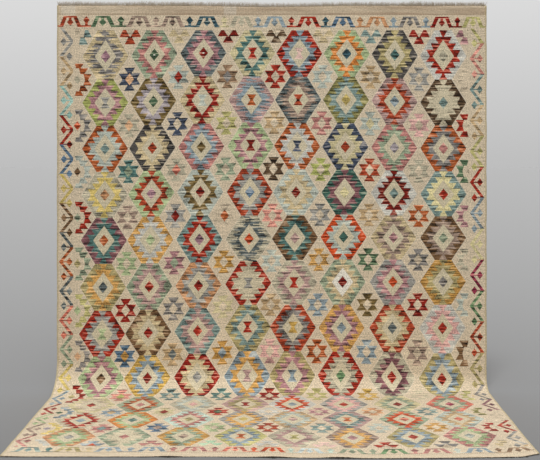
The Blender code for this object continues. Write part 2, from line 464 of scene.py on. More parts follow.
def subdivide(lines, steps):
    """Lines with steps between them, and the interval that each step lies in."""
    places = []
    intervals = []
    for k, count in enumerate(steps):
        for i in range(count):
            places.append(lines[k] + (lines[k + 1] - lines[k]) * i / count)
            intervals.append(k)
    places.append(lines[-1])
    return np.array(places), np.array(intervals)


selvedge_steps = [1] * (len(SELVEDGE_LINES) - 1)
column_steps = [*selvedge_steps, SIDE_BORDER_STEPS, LEFT_MARGIN_STEPS]
column_steps += [CELL_STEPS] * (2 * COLUMN_COUNT - 2)
column_steps += [RIGHT_MARGIN_STEPS, SIDE_BORDER_STEPS, *selvedge_steps]
station_lines = []
for centres in COLUMN_CENTRES:
    line_u, column_of = subdivide([*left_lines, *interleave(centres), *right_lines], column_steps)
    station_lines.append(line_u)

row_steps = [BAND_STEPS, TOP_BORDER_STEPS, 1, CELL_STEPS + 1]
row_steps += [CELL_STEPS] * (2 * ROW_COUNT - 1)
row_steps += [1, FRONT_BORDER_STEPS, BAND_STEPS]
line_v, row_of = subdivide(row_lines, row_steps)
print(len(line_u), "mesh columns and", len(line_v), "mesh rows")

# %% [markdown]
# ## Slanting rows
#
# The weaver's beat also drops more at one place than at another, so a row of medallions isn't level. The
# drop is given at five places across for each row, by at most 4 cm, and blends smoothly between them. Most
# of these drops are numbers that the same scratch program printed. Both measures are kept: grid_v counts
# along the chart, and woven_v is the real length down the cloth.

# %% Slant of the rows
SLANT_ACROSS = (0.34, 1.00, 1.35, 2.00, 2.70)
SLANT_COLUMNS = ("v", "drops")
SLANTS = (
    (0.178, (0.000, 0.000, 0.000, 0.000, 0.000)),
    (0.360, (0.005, -0.022, -0.022, -0.017, 0.001)),
    (0.677, (0.009, -0.010, -0.011, -0.013, 0.009)),
    (0.995, (0.012, 0.000, -0.014, -0.002, 0.009)),
    (1.314, (0.016, -0.007, -0.005, -0.002, 0.012)),
    (1.634, (0.012, 0.005, 0.002, -0.012, -0.005)),
    (1.955, (0.019, 0.007, -0.012, -0.019, -0.021)),
    (2.275, (0.026, 0.002, -0.028, -0.019, -0.019)),
    (2.592, (0.026, 0.009, -0.002, -0.007, 0.016)),
    (2.945, (0.035, 0.014, 0.014, 0.021, 0.014)),
    (3.244, (0.038, 0.013, 0.006, 0.013, 0.006)),
    (3.551, (0.022, 0.006, 0.006, 0.028, -0.006)),
    (3.716, (0.016, 0.012, 0.009, 0.030, 0.020)),
    (3.794, (0.016, 0.012, 0.009, 0.030, 0.020)),
    (3.877, (0.000, 0.000, 0.000, 0.000, 0.000)),
)


def between_stations(v, values):
    """Values given for each station down the rug, read at any v."""
    return [np.interp(v, COLUMN_STATIONS, column) for column in zip(*values)]


def slant(u, v):
    """How far a line of the chart has dropped at u. The drops at the fixed places blend smoothly across."""
    rows = rows_of(SLANT_COLUMNS, SLANTS)
    lines = [row["v"] for row in rows]
    total = 0.0
    for own_place, drops in zip(np.eye(len(SLANT_ACROSS)), zip(*[row["drops"] for row in rows])):
        total = total + smooth(np.interp(u, SLANT_ACROSS, own_place)) * np.interp(v, lines, drops)
    return total


grid_v = np.repeat(line_v[:, None], len(line_u), axis=1)
grid_u = np.stack(between_stations(line_v, station_lines), axis=1)
woven_v = grid_v + slant(grid_u, grid_v) + top_drop(grid_u - WIDTH / 2) * (1 - smooth(grid_v / END_BAND))
lowered = woven_v - grid_v
print("weft lines drop by", lowered.min().round(3), "to", lowered.max().round(3), "m")

# %% [markdown]
# ## The sheet
#
# The cloth is a thin sheet with a front, a back and a narrow rim, a few millimetres thick. Its sides are
# overcast with extra yarn, which makes a rounded bead along each, and they run a little unevenly. One
# could give a flat sheet thickness with a Solidify modifier. Here the front is worked out from the back
# along the cloth's own normals, because the thickness changes towards the sides.

# %% Front and back of the cloth
SELVEDGE_WIDTH = 0.012
SELVEDGE_BEAD = 0.0025
RIM_THICKNESS = 0.0015
SIDE_WAVES = ((2.1, 0.0010, 0.3), (5.3, 0.0006, 1.9), (11.0, 0.0004, 4.0))  # waves a metre, size, phase
SIDE_WAVE_REACH = 0.25
LEFT_PHASE = 0.0  # shifts the waves, so that the two sides differ
RIGHT_PHASE = 2.0


def side_wave(v, shift):
    return sum(size * np.sin(2 * math.pi * count * v + phase + shift) for count, size, phase in SIDE_WAVES)


near_left = 1 - smooth(grid_u / SIDE_WAVE_REACH)
near_right = 1 - smooth((WIDTH - grid_u) / SIDE_WAVE_REACH)
waves = side_wave(woven_v, LEFT_PHASE) * near_left + side_wave(woven_v, RIGHT_PHASE) * near_right
place_x = grid_u - WIDTH / 2 + waves
back = drape(place_x, woven_v)
down = np.gradient(back, axis=0)
across = np.gradient(back, axis=1)
normals = np.cross(down, across)
normals /= np.linalg.norm(normals, axis=2, keepdims=True)
inward = np.clip(np.minimum(grid_u, WIDTH - grid_u) / SELVEDGE_WIDTH, 0.0, 1.0)
bead = SELVEDGE_BEAD * np.sin(math.pi * inward)
body = THICKNESS - (THICKNESS - RIM_THICKNESS) * (1 - np.sqrt(np.clip(2 * inward, 0.0, 1.0)))
front = back + normals * (body + bead)[..., None]
print("front is", round(float(front[..., 1].min()), 4), "to", round(float(front[..., 1].max()), 4), "m in y")

# %% [markdown]
# ## Faces of the sheet
#
# A woven rug is one closed body, so the mesh is too: a front, a back with its faces turned the other way,
# and a rim. The corners of each face keep their row and column, which the next steps read to find out
# where on the chart the face lies. One mesh made from arrays is quicker than many small edits.

# %% Faces of the sheet
def faces_between(rows, columns, offset, turned):
    """Quads of a grid, with each corner's row and column."""
    i, j = np.meshgrid(np.arange(rows - 1), np.arange(columns - 1), indexing="ij")
    i = i.ravel()
    j = j.ravel()
    corners_i = np.stack([i, i + 1, i + 1, i], axis=1)
    corners_j = np.stack([j, j, j + 1, j + 1], axis=1)
    if turned:
        corners_i = corners_i[:, ::-1]
        corners_j = corners_j[:, ::-1]
    return corners_i * columns + corners_j + offset, corners_i, corners_j


def rim_faces(rows, columns, offset):
    """The narrow strip that joins front and back along all four edges."""
    loop = [(0, j) for j in range(columns - 1)]
    loop += [(i, columns - 1) for i in range(rows - 1)]
    loop += [(rows - 1, j) for j in range(columns - 1, 0, -1)]
    loop += [(i, 0) for i in range(rows - 1, 0, -1)]
    corners = np.array([(near, far, far, near) for near, far in zip(loop, loop[1:] + loop[:1])])
    layer = np.array([0, 0, offset, offset])
    return corners[..., 0] * columns + corners[..., 1] + layer, corners[..., 0], corners[..., 1]


row_count, column_count = grid_u.shape
back_offset = row_count * column_count
points = np.concatenate([front.reshape(-1, 3), back.reshape(-1, 3)])
layers = [
    faces_between(row_count, column_count, 0, turned=False),
    faces_between(row_count, column_count, back_offset, turned=True),
    rim_faces(row_count, column_count, back_offset),
]
quads, corner_i, corner_j = [np.concatenate(parts) for parts in zip(*layers)]
rug_mesh = bpy.data.meshes.new("kilim_cloth")
rug_mesh.from_pydata(points.tolist(), [], quads.tolist())
rug_mesh.shade_smooth()
rug = bpy.data.objects.new("kilim_cloth", rug_mesh)
bpy.context.scene.collection.objects.link(rug)
print("cloth has", len(quads), "faces")

# %% [markdown]
# ## What each face carries
#
# A face knows which medallion it is in and which star is nearest. It carries their dyes as colour
# attributes. Its UV maps hold distances in metres: from the rug's top left corner, from the middle of
# its medallion, from the middle of its star, and along the border's repeat. The shader then draws each
# shape from plain distances, so one description serves all 88 medallions.

# %% Chart places of the faces
FIELD_COLUMNS = (5, 20)  # first and last interval of column lines in the field
FIELD_ROWS = (2, 25)
FIRST_ROW_TOP = 0.180
LAST_ROW_FRONT = 3.7045
HALF_STAR_LEFT = 0.208
HALF_STAR_RIGHT = 2.820
TOP_STAR_STRETCH = 1.25
NOMINAL_HALF = 0.160  # half of a medallion's height in the pattern's own measure
SEED_STEP = (math.sqrt(5) - 1) / 2  # multiples of it, less their whole part, spread evenly

row_interval = row_of[corner_i.min(axis=1).clip(max=row_count - 2)]
column_interval = column_of[corner_j.min(axis=1).clip(max=column_count - 2)]
corner_u = grid_u[corner_i, corner_j]
corner_v = woven_v[corner_i, corner_j]
chart_v = grid_v[corner_i, corner_j]

medallion_column = ((column_interval - FIELD_COLUMNS[0]) // 2).clip(0, COLUMN_COUNT - 1)
medallion_row = ((row_interval - FIELD_ROWS[0] - 1) // 2).clip(0, ROW_COUNT - 1)
star_column = ((column_interval - FIELD_COLUMNS[0] + 1) // 2).clip(0, COLUMN_COUNT)
star_row = ((row_interval - FIELD_ROWS[0]) // 2).clip(0, ROW_COUNT)


def column_place(values, column):
    """A column line's place across the rug at each corner, from its places at the stations."""
    by_line = np.stack(between_stations(chart_v, values))
    return np.take_along_axis(by_line, column[None, :, None], axis=0)[0]


row_centre = np.array(ROW_CENTRES)[medallion_row][:, None]
row_tops = np.array([FIRST_ROW_TOP, *star_lines[1:-1]])[medallion_row][:, None]
row_fronts = np.array([*star_lines[1:-1], LAST_ROW_FRONT])[medallion_row][:, None]
in_upper_half = chart_v.mean(axis=1, keepdims=True) < row_centre
row_half = np.where(in_upper_half, row_centre - row_tops, row_fronts - row_centre)
medallion_x = corner_u - column_place(COLUMN_CENTRES, medallion_column)
medallion_y = (chart_v - row_centre) / row_half * NOMINAL_HALF

star_centres = [(HALF_STAR_LEFT, *halfway(centres), HALF_STAR_RIGHT) for centres in COLUMN_CENTRES]
star_x = corner_u - column_place(star_centres, star_column)
star_x = np.where(star_column[:, None] == COLUMN_COUNT, -star_x, star_x)
star_line = np.array(star_lines)[star_row][:, None]
star_y = (chart_v - star_line) / row_half * NOMINAL_HALF
star_y = np.where(star_row[:, None] == 0, (chart_v - star_line) / TOP_STAR_STRETCH, star_y)
print("medallion rows are", (row_half * 2).min().round(3), "to", (row_half * 2).max().round(3), "m high")

# %% [markdown]
# ## Border places
#
# A row of arches runs along both ends, and a vine zigzags down both sides. Neither repeat is quite even,
# so the ends have a list with the middle of each arch, and each side has its own start and length of turn.
# The same UV map holds both, since no face lies in an end border and a side border at once.

# %% Border places of the faces
ARCHES_TOP = (0.094, 0.320, 0.577, 0.807, 1.048, 1.289, 1.520, 1.755, 1.996, 2.236, 2.464, 2.687, 2.904)
ARCHES_FRONT = (0.132, 0.360, 0.588, 0.831, 1.070, 1.301, 1.512, 1.720, 1.960, 2.193, 2.433, 2.677, 2.899)
ARCH_LINE_TOP = 0.080
ARCH_LINE_FRONT = 3.722
ARCH_LINE_SLOPE = 0.002  # the top border sinks a little towards the right, for each metre
VINE_COLUMNS = ("start", "segment", "outer", "inner", "slip", "slip_at")
VINES = ((0.157, 0.2048, 0.028, 0.110, 0.030, 3.05), (0.270, 0.2157, 2.972, 2.893, -0.030, 3.50))
VINE_SLIP_REACH = 0.35
VINE_SPAN = 0.085  # from a vine's outer turns to its inner turns, in the pattern's own measure
FRONT_HALF = 2.0  # any v below this is in the top half of the rug


def arch_number(u, middles):
    """Counts the arches across: 0 at the first one's middle, 1 at the next one's."""
    step_left = middles[1] - middles[0]
    step_right = middles[-1] - middles[-2]
    known = [middles[0] - step_left, *middles, middles[-1] + step_right]
    return np.interp(u, known, range(-1, len(middles) + 1))


in_top_half = corner_v < FRONT_HALF
arch_x = np.where(in_top_half, arch_number(corner_u, ARCHES_TOP), arch_number(corner_u, ARCHES_FRONT))
top_arch_y = corner_v - ARCH_LINE_TOP - ARCH_LINE_SLOPE * corner_u
arch_y = np.where(in_top_half, top_arch_y, chart_v - ARCH_LINE_FRONT)
vine_parts = []
for vine in rows_of(VINE_COLUMNS, VINES):
    inward = (corner_u - vine["outer"]) * VINE_SPAN / (vine["inner"] - vine["outer"])
    slip = vine["slip"] * bump((corner_v - vine["slip_at"]) / VINE_SLIP_REACH)
    vine_parts.append((inward, (corner_v - slip - vine["start"]) / vine["segment"]))
on_left = corner_u < WIDTH / 2
vine_x = np.where(on_left, vine_parts[0][0], vine_parts[1][0])
vine_y = np.where(on_left, vine_parts[0][1], vine_parts[1][1])

in_field_rows = (row_interval >= FIELD_ROWS[0]) & (row_interval <= FIELD_ROWS[1])
in_field_columns = (column_interval >= FIELD_COLUMNS[0]) & (column_interval <= FIELD_COLUMNS[1])
in_end_band = (row_interval == row_of.min()) | (row_interval == row_of.max())
FIELD, SIDE_BORDER, END_BORDER, BAND = range(4)
zone = np.select([in_end_band, ~in_field_rows, ~in_field_columns], [BAND, END_BORDER, SIDE_BORDER], FIELD)
border_x = np.where(in_field_rows[:, None], vine_x, arch_x)
border_y = np.where(in_field_rows[:, None], vine_y, arch_y)
border_y = np.where(in_end_band[:, None], chart_v, border_y)
print("faces in field, sides, ends and bands:", np.bincount(zone).tolist())

# %% [markdown]
# ## UV maps and colour attributes
#
# Now the mesh takes up what was worked out. UV maps belong to the corners of a face, so they can change
# within it and the shapes run on smoothly. Dyes and marks belong to the whole face. One more map, OFBake,
# spreads the whole cloth over a square for a baked texture.

# %% UV maps and colour attributes
BAKE_MARGIN = 0.002
HALF_STAR_TEETH = (3, 2)  # on the left and on the right
CORNER_STAR_TEETH = 2  # on the half star in the top left corner


def add_uv_map(name, x, y):
    layer = rug_mesh.uv_layers.new(name=name, do_init=False)
    layer.data.foreach_set("uv", np.stack([x, y], axis=-1).astype(np.float32).ravel())


def add_dye(name, names_by_face):
    colours = {dye_name: dye(dye_name) for dye_name in set(names_by_face)}
    attribute = rug_mesh.attributes.new(name, "FLOAT_COLOR", "FACE")
    attribute.data.foreach_set("color", np.array([colours[n] for n in names_by_face], np.float32).ravel())


def add_number(name, values):
    attribute = rug_mesh.attributes.new(name, "FLOAT", "FACE")
    attribute.data.foreach_set("value", np.asarray(values, np.float32))


add_uv_map("OFBake", corner_u / WIDTH * (1 - 2 * BAKE_MARGIN) + BAKE_MARGIN,
           1 - corner_v / PATTERN_LENGTH * (1 - 2 * BAKE_MARGIN) - BAKE_MARGIN)
add_uv_map("Cloth", corner_u, corner_v)
add_uv_map("Medallion", medallion_x, medallion_y)
add_uv_map("Star", star_x, star_y)
add_uv_map("Border", border_x, border_y)

face_medallions = [medallions[row][column] for row, column in zip(medallion_row, medallion_column)]
face_stars = [stars[row][column] for row, column in zip(star_row, star_column)]
has_star = (row_interval > FIELD_ROWS[0]) & (row_interval < FIELD_ROWS[1])
add_dye("outer", [entry[0] for entry in face_medallions])
add_dye("inner", [entry[1] for entry in face_medallions])
add_dye("heart", [entry[2] for entry in face_medallions])
add_dye("diamond", ["ivory" if BLEACHED_MARK in entry[3] else "undyed" for entry in face_medallions])
add_dye("star", [entry[0] if shown else "cream" for entry, shown in zip(face_stars, has_star)])
add_dye("star_middle", [entry[1] if shown else "cream" for entry, shown in zip(face_stars, has_star)])
add_number("hourglass", [HOURGLASS_MARK in entry[3] for entry in face_medallions])
add_number("wander", [WANDER_MARK in entry[3] for entry in face_medallions])
add_number("eye", [EYE_MARK in entry[3] for entry in face_medallions])
half_star_teeth = np.select([star_column == 0, star_column == COLUMN_COUNT], HALF_STAR_TEETH, 0)
half_star_teeth = np.where((star_column == 0) & (star_row == 0), CORNER_STAR_TEETH, half_star_teeth)
add_number("half_star_teeth", half_star_teeth)
add_number("medallion_seed", (medallion_row * COLUMN_COUNT + medallion_column + 1) * SEED_STEP % 1.0)
add_number("star_seed", (star_row * (COLUMN_COUNT + 1) + star_column + 1) * SEED_STEP % 1.0)
print("the cloth's UV maps are", [layer.name for layer in rug_mesh.uv_layers])

# %% [markdown]
# ## Nodes written as arithmetic
#
# A woven pattern is best drawn by rules, not by a picture: a face of wool is inside the diamond if its
# distances add up to less than a limit. Such rules are long chains of Math nodes. To keep them readable,
# one small function adds any node, and a Reading stands for what comes out of it, so that Python's own
# signs between two readings add the Math nodes.

# %% One function for nodes, and readings
def add_node(tree, kind, *inputs, output=0, **settings):
    """Adds a shader node, sets it, and fills its open sockets in order with links or values."""
    node = tree.nodes.new("ShaderNode" + kind)
    for name, value in settings.items():
        setattr(node, name, value)
    open_sockets = [socket for socket in node.inputs if socket.enabled]
    assert len(inputs) <= len(open_sockets), kind + " is given more than its open sockets can take"
    for socket, value in zip(open_sockets, inputs):
        if isinstance(value, Reading):
            tree.links.new(value.socket, socket)
        elif value is not None:
            socket.default_value = value
    shown = [socket for socket in node.outputs if socket.enabled]
    return Reading(tree, node.outputs[output] if isinstance(output, str) else shown[output])


class Reading:
    """What a node gives at the shaded point. A comparison gives 1 where it holds and 0 elsewhere."""

    def __init__(self, tree, socket):
        self.tree = tree
        self.socket = socket

    def __add__(self, other):
        return add_node(self.tree, "Math", self, other, operation="ADD")

    def __sub__(self, other):
        return add_node(self.tree, "Math", self, other, operation="SUBTRACT")

    def __rsub__(self, other):
        return add_node(self.tree, "Math", other, self, operation="SUBTRACT")

    def __mul__(self, other):
        return add_node(self.tree, "Math", self, other, operation="MULTIPLY")

    def __truediv__(self, other):
        return add_node(self.tree, "Math", self, other, operation="DIVIDE")

    def __lt__(self, other):
        return add_node(self.tree, "Math", self, other, operation="LESS_THAN")

    def __gt__(self, other):
        return add_node(self.tree, "Math", self, other, operation="GREATER_THAN")

    def __or__(self, other):
        return add_node(self.tree, "Math", self, other, operation="MAXIMUM")

    def __and__(self, other):
        return add_node(self.tree, "Math", self, other, operation="MINIMUM")

    def __abs__(self):
        return add_node(self.tree, "Math", self, operation="ABSOLUTE")

    def __floor__(self):
        return add_node(self.tree, "Math", self, operation="FLOOR")

    def __round__(self, digits=0):
        return add_node(self.tree, "Math", self, operation="ROUND")

    __radd__ = __add__
    __rmul__ = __mul__


signs = [name for name, part in vars(Reading).items() if callable(part) and name != "__init__"]
print("a Reading answers to", len(signs), "signs and functions")

# %% [markdown]
# ## Small words for the patterns
#
# Each pattern needs the same few steps: read the distances of a UV map, read what a face carries, take a
# dye, and lay one colour over another where a rule holds. Each of these gets a short name.

# %% Words of the patterns
def distances(tree, uv_map):
    """The two distances that a UV map holds."""
    place = add_node(tree, "UVMap", uv_map=uv_map)
    across = add_node(tree, "SeparateXYZ", place, output="X")
    along = add_node(tree, "SeparateXYZ", place, output="Y")
    return across, along


def carried(tree, name, output="Fac"):
    """A number or, with output Color, a dye that the mesh's faces carry."""
    return add_node(tree, "Attribute", attribute_name=name, output=output)


def yarn(tree, dye_name):
    """A dye as one colour everywhere."""
    reading = add_node(tree, "RGB")
    reading.socket.default_value = dye(dye_name)
    return reading


def lay(below, above, where):
    """The colour above where the last reading is 1, and the colour below elsewhere."""
    return add_node(below.tree, "Mix", where, below, above, data_type="RGBA")


def in_diamond(x, y, half_width, half_height):
    return x < half_width * (1.0 - y / half_height)


STEP = 0.008  # height of one step of a slanting edge


def stepped(height, step=STEP):
    """A height rounded to the middle of its step."""
    return (math.floor(height / step) + 0.5) * step


print("slanting edges climb in steps of", STEP * 1000, "mm")

# %% [markdown]
# ## Wool
#
# The real yarn is hand-spun sheep's wool, dyed in small lots and woven weft-faced. Wool is matt: it scatters
# light in its fuzz, so its roughness is high, its specular reflection weak, and a little sheen lightens it at
# grazing angles. Hand dyeing never takes evenly. Weavers call the bands that this leaves abrash: short runs
# of lighter and darker weft, a few millimetres high and as long as the run of colour. The darker weft lines
# are also painted shade: the shade that falls between the packed rows of weft.

# %% Wool material
WOOL_IOR = 1.54
WOOL_ROUGHNESS = 0.92
WOOL_SPECULAR = 0.18
WOOL_SHEEN = 0.10
WOOL_SHEEN_ROUGHNESS = 0.5
WEFT_LINE = (0.110, 0.0118)  # length and height of a run of weft, which also carries the painted shade between weft rows. Real ones are 4 mm high, drawn 3 times that
DYE_LOT = (0.30, 0.075)  # length and height over which the dye lot itself changes
GROUND_PATCH = (0.45, 0.40)  # size of the ground's slow changes of shade
FUZZ = (0.0090, 0.0075)  # spun wool's own unevenness. The real one is 2 mm, drawn 4 times coarser to show
LINE_CONTRAST = 5.0  # of the weft lines in the deepest dye, abrash and painted shade between weft rows
PALE_LINE_CONTRAST = 1.2  # of the weft lines in a pale dye
GROUND_LINE_CONTRAST = 0.55
LOT_CONTRAST = 0.70
GROUND_PATCH_CONTRAST = 0.12
FUZZ_CONTRAST = 1.20
DYED_TONE = 0.92  # wet-dyed wool ends a little darker than a dry lock of it
DARKEST_TONE = 0.1
PALE_WOOL = 0.60  # lightness from which a dye counts as pale
PALE_ABOVE = 0.63  # from here up, a weft line took up little dye
PALE_SHARE = 0.22
NOISE_SPREAD = (37.0, 91.0)  # how far apart on the noise two seeds lie
PATCH_SEED = 0.3
FUZZ_SEED = 0.7


def start_wool(name):
    """A material whose nodes are still to be drawn."""
    material = bpy.data.materials.new(name)
    material.use_nodes = True
    rug_mesh.materials.append(material)
    return material, material.node_tree


def unevenness(tree, u, v, size, seed, detail=1.0):
    """Soft patches of a given length and height, about 0.5 on average."""
    length, height = size
    across, along = NOISE_SPREAD
    place = add_node(tree, "CombineXYZ", u / length + seed * across, v / height + seed * along)
    return add_node(tree, "TexNoise", place, 1.0, detail, 0.5, output="Fac", noise_dimensions="2D")


def handspun(tree, u, v, colour, dyed, seed, strength):
    """A flat colour with its abrash, its painted shade between weft rows, and fuzz. The deeper a dye, the
    more unevenly it took.
    """
    # weft lines: abrash, and painted shade between the weft rows
    line = unevenness(tree, u, v, WEFT_LINE, seed, detail=2.0)
    lot = unevenness(tree, u, v, DYE_LOT, seed)
    patch = unevenness(tree, u, v, GROUND_PATCH, PATCH_SEED)
    fuzz = unevenness(tree, u, v, FUZZ, FUZZ_SEED)
    lightness = add_node(tree, "RGBToBW", colour)
    deep = (1.0 - lightness / PALE_WOOL | 0.0) * dyed
    colour = lay(colour, yarn(tree, "cream"), dyed * (line > PALE_ABOVE) * PALE_SHARE)
    contrast = GROUND_LINE_CONTRAST + dyed * (PALE_LINE_CONTRAST - GROUND_LINE_CONTRAST)
    contrast = contrast + deep * (LINE_CONTRAST - PALE_LINE_CONTRAST)
    uneven = (line - 0.5) * contrast + (lot - 0.5) * dyed * LOT_CONTRAST
    uneven = uneven + (patch - 0.5) * GROUND_PATCH_CONTRAST + (fuzz - 0.5) * FUZZ_CONTRAST
    tone = uneven * strength + (1.0 - dyed * (1.0 - DYED_TONE))
    return add_node(tree, "VectorMath", colour, tone | DARKEST_TONE, operation="SCALE"), fuzz


print("the finest wool drawn is", min(FUZZ) * 1000, "mm high")

# %% [markdown]
# ## Ribs, overcast sides and the wool's surface
#
# The weft packs into fine ribs across the rug. They are far too small to model, so a Bump node tilts the
# shading instead. The sides are overcast with a darker thread. Then the colour goes into one shader, with
# wool's usual values: it isn't metallic, and its index of refraction is that of keratin.

# %% Finish of the wool
RIB = 0.0085  # real weft ribs are 2 mm apart, drawn 4 times coarser so that they show
RIB_DEPTH = 0.0006
RIB_HEIGHT = 0.7  # share of the rib in the bumps
FUZZ_HEIGHT = 0.6
SELVEDGE_DYE = "khaki"
SELVEDGE_SHARE = 0.45


def finish_wool(material, colour, dyed, seed, strength=1.0):
    """Handspun wool and ribs over a drawn pattern, in the matt wool shader."""
    tree = material.node_tree
    u, v = distances(tree, "Cloth")
    colour, fuzz = handspun(tree, u, v, colour, dyed, seed, strength)
    side = (u < SELVEDGE_WIDTH) | (u > WIDTH - SELVEDGE_WIDTH)
    colour = lay(colour, yarn(tree, SELVEDGE_DYE), side * SELVEDGE_SHARE)
    rib_place = v / RIB
    rib = abs(rib_place - math.floor(rib_place) - 0.5)
    height = rib * RIB_HEIGHT + fuzz * FUZZ_HEIGHT
    bump_node = add_node(tree, "Bump", 1.0, RIB_DEPTH, None, height, output="Normal")
    shader = tree.nodes["Principled BSDF"]
    shader.inputs["Metallic"].default_value = 0.0
    shader.inputs["IOR"].default_value = WOOL_IOR
    shader.inputs["Roughness"].default_value = WOOL_ROUGHNESS
    shader.inputs["Specular IOR Level"].default_value = WOOL_SPECULAR
    shader.inputs["Sheen Weight"].default_value = WOOL_SHEEN
    shader.inputs["Sheen Roughness"].default_value = WOOL_SHEEN_ROUGHNESS
    tree.links.new(colour.socket, shader.inputs["Base Color"])
    tree.links.new(bump_node.socket, shader.inputs["Normal"])
    print(material.name, "has", len(tree.nodes), "nodes")


print("ribs are drawn", RIB * 1000, "mm apart")

# %% [markdown]
# ## The medallion
#
# Each medallion is a tall hexagon. Its inner colour steps outwards in four saw teeth above the middle and
# four below, each tooth widest on the side away from the middle. A cream diamond sits inside, with a small
# heart in it. The edges climb in steps of a few wefts, so the height is first rounded to whole steps. A
# picture could hold all this, but rules stay sharp at any distance and need no file.

# %% Medallion pattern
MEDALLION_WAIST = 0.161
MEDALLION_NARROWING = 0.103  # from its waist to its top
MEDALLION_SLOPE = MEDALLION_NARROWING / NOMINAL_HALF
TEETH = 4.0  # above the middle, and as many below
TOOTH = NOMINAL_HALF / TEETH
TOOTH_REACH = 0.030
TOOTH_CUT = 0.024
DIAMOND = (0.075, 0.102)  # half width and half height
HEART = (0.034, 0.041)
HOURGLASS = (0.009, 0.033, 0.038)  # waist, ends and half height
EYE = (0.006, 0.004)
SHARP_EDGE = 0.005
WANDERING_EDGE = 0.050
OUTLINE = 0.006  # pale weft that outlines each medallion
OUTLINE_SHARE = 0.25
CHANCE_SPREAD = 53.0


def scatter(tree, x, y, z):
    """An uneven value from 0 to 1 for each whole number."""
    place = add_node(tree, "CombineXYZ", x, y, z)
    return add_node(tree, "TexWhiteNoise", place, output="Value", noise_dimensions="3D")


def draw_medallion(tree, below):
    """The colour with medallions laid over it, and where they are dyed."""
    across, along = distances(tree, "Medallion")
    seed = carried(tree, "medallion_seed")
    x = abs(across)
    y = stepped(abs(along))
    inside_height = abs(along) < NOMINAL_HALF
    limit = MEDALLION_WAIST - MEDALLION_SLOPE * y
    whole = (x < limit) & inside_height
    outline = (x < limit + OUTLINE) & inside_height
    chance = scatter(tree, math.floor(along / STEP), (across > 0.0) * 1.0, seed * CHANCE_SPREAD)
    wander = carried(tree, "wander") * WANDERING_EDGE + SHARP_EDGE
    tooth = y / TOOTH
    tooth_row = math.floor(tooth)
    rise = tooth - tooth_row
    saw = (TEETH - tooth_row) * TOOTH_REACH - (1.0 - rise) * TOOTH_CUT + (chance - 0.5) * wander
    inner = (x < saw) & whole
    diamond = in_diamond(x, y, *DIAMOND)
    waist, ends, half_height = HOURGLASS
    hourglass = (x < waist + y * ((ends - waist) / half_height)) & (abs(along) < half_height)
    is_hourglass = carried(tree, "hourglass")
    heart = hourglass * is_hourglass + in_diamond(x, y, *HEART) * (1.0 - is_hourglass)
    eye = (x < EYE[0]) & (abs(along) < EYE[1]) & carried(tree, "eye")
    pale = yarn(tree, "ivory")
    colour = lay(below, pale, outline * OUTLINE_SHARE)
    colour = lay(colour, carried(tree, "outer", "Color"), whole)
    colour = lay(colour, carried(tree, "inner", "Color"), inner)
    colour = lay(colour, carried(tree, "diamond", "Color"), diamond)
    colour = lay(colour, carried(tree, "heart", "Color"), heart)
    colour = lay(colour, pale, eye)
    dyed = whole * (1.0 - diamond) | heart * (1.0 - eye)
    return colour, dyed, whole | diamond


print("a medallion is", MEDALLION_WAIST * 2, "m wide at its waist")

# %% [markdown]
# ## The star
#
# Between four medallions sits a star: side arms that widen away from its middle line, a cap above and one
# below, and a diamond in the middle. Beside the borders only half of it fits, which weavers turn into a
# little stack of triangles with its own small diamond. Both are drawn from the same two distances, and a
# number on each face says which it is.

# %% Star pattern
STAR_MIDDLE = (0.031, 0.041)
STAR_ARM = (0.050, 0.074)  # reach of a side arm at the star's middle line and at its ends
STAR_ARM_HEIGHT = 0.038
STAR_HEIGHT = 0.080
STAR_CAP = (0.012, 0.038)
HALF_TOOTH = 0.0385
HALF_STAR_WAIST = 0.011
HALF_STAR_SHIFT = (0.031, 0.027)
HALF_STAR_SPREAD = (0.010, 0.025)
SIDE_DIAMOND = (-0.064, 0.025, 0.031)  # middle, half width and half height


def draw_star(tree, below):
    """The colour with stars and half stars laid over it, and where they are dyed."""
    across, along = distances(tree, "Star")
    teeth = carried(tree, "half_star_teeth")
    is_half = teeth > 0.5
    x = abs(across)
    y = stepped(abs(along))
    middle = in_diamond(x, y, *STAR_MIDDLE)
    arm = (x < STAR_ARM[0] + y * ((STAR_ARM[1] - STAR_ARM[0]) / STAR_ARM_HEIGHT)) & (y < STAR_ARM_HEIGHT)
    cap_share = (y - STAR_ARM_HEIGHT) / (STAR_HEIGHT - STAR_ARM_HEIGHT)
    cap_edge = STAR_CAP[0] + cap_share * (STAR_CAP[1] - STAR_CAP[0])
    cap = (x < cap_edge) & (y > STAR_ARM_HEIGHT) & (y < STAR_HEIGHT)
    tooth = y / HALF_TOOTH
    tooth_row = math.floor(tooth)
    rise = tooth - tooth_row
    left = -HALF_STAR_WAIST - tooth_row * HALF_STAR_SHIFT[0] - rise * HALF_STAR_SPREAD[0]
    right = HALF_STAR_WAIST - tooth_row * HALF_STAR_SHIFT[1] + rise * HALF_STAR_SPREAD[1]
    half_star = (across > left) & (across < right) & (tooth < teeth)
    side_diamond = in_diamond(abs(across - SIDE_DIAMOND[0]), y, *SIDE_DIAMOND[1:])
    star = ((arm | cap) * (1.0 - middle)) * (1.0 - is_half) + half_star * is_half
    centre = middle * (1.0 - is_half) + side_diamond * is_half
    colour = lay(below, carried(tree, "star", "Color"), star)
    colour = lay(colour, carried(tree, "star_middle", "Color"), centre)
    return colour, star | centre


print("a star is", STAR_HEIGHT * 2, "m high")

# %% [markdown]
# ## The field
#
# The field's wool takes both. The stars come first and the medallions go over them, since their points
# meet. Each motif has its own seed, because a weaver takes a new bobbin for it.

# %% Field wool
field, tree = start_wool("flatwoven_wool_field")
colour, star_dyed = draw_star(tree, yarn(tree, "cream"))
colour, medallion_dyed, covered = draw_medallion(tree, colour)
dyed = medallion_dyed | star_dyed * (1.0 - covered)
seed = carried(tree, "medallion_seed") * covered + carried(tree, "star_seed") * (1.0 - covered)
finish_wool(field, colour, dyed, seed)

